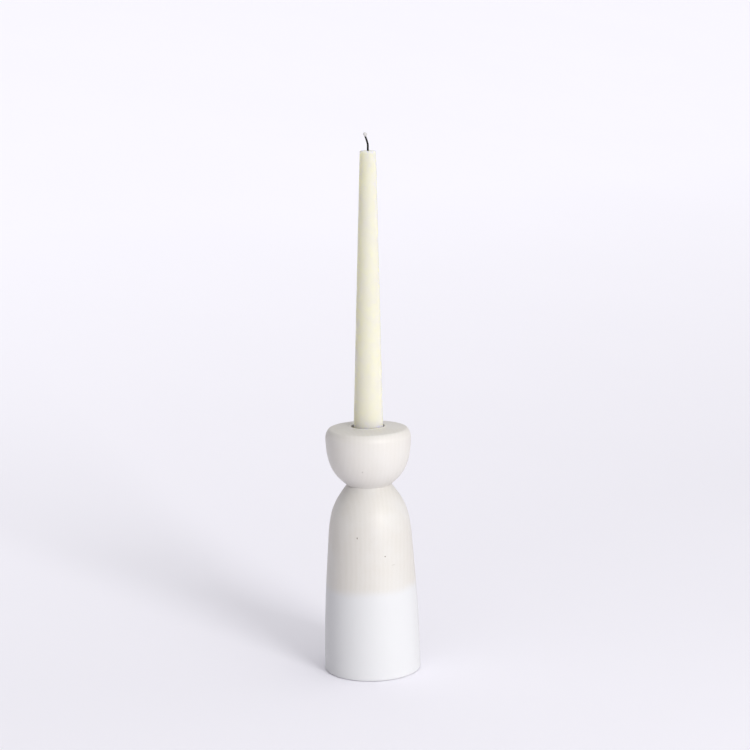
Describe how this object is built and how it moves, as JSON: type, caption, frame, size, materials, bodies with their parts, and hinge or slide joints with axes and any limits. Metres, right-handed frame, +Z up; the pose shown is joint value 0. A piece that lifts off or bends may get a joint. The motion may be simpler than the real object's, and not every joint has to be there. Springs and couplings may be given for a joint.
{
  "type": "candlestick",
  "caption": "Turned wooden candlestick with a bowl-shaped head on a bell-shaped column, a dipped white foot, a metal-lined socket and a lift-out taper candle.",
  "frame": {"origin": "centre of the underside, on the surface the candlestick stands on", "axes": "+Z up along the turned axis, -Y towards the front, +X to the right, the way the candle leans"},
  "size_m": [0.0728, 0.0728, 0.4067],
  "materials": {
    "whitened_wood": "limewashed and satin sealed, foot dipped in white paint",
    "dowel_beech": "raw, fluted",
    "liner_metal": "off-white enamel, satin",
    "screw_steel": "zinc plated",
    "felt": "pressed wool felt",
    "ivory_wax": "smooth dipped wax, slightly glossy at the burnt top",
    "charred_wick": "braided cotton, charred"
  },
  "bodies": {
    "holder": {"column": "whitened_wood", "head": "whitened_wood", "joint_dowel": "dowel_beech", "candle_cup": "liner_metal", "cup_screw": "screw_steel", "felt_pad": "felt"},
    "candle": {"candle": "ivory_wax", "wick": "charred_wick"}
  },
  "joints": [
    {"name": "candle_lift", "type": "slide", "parent": "holder", "child": "candle", "axis": [0.0192, 0, 0.9998], "range_m": [0, 0.03]}
  ]
}
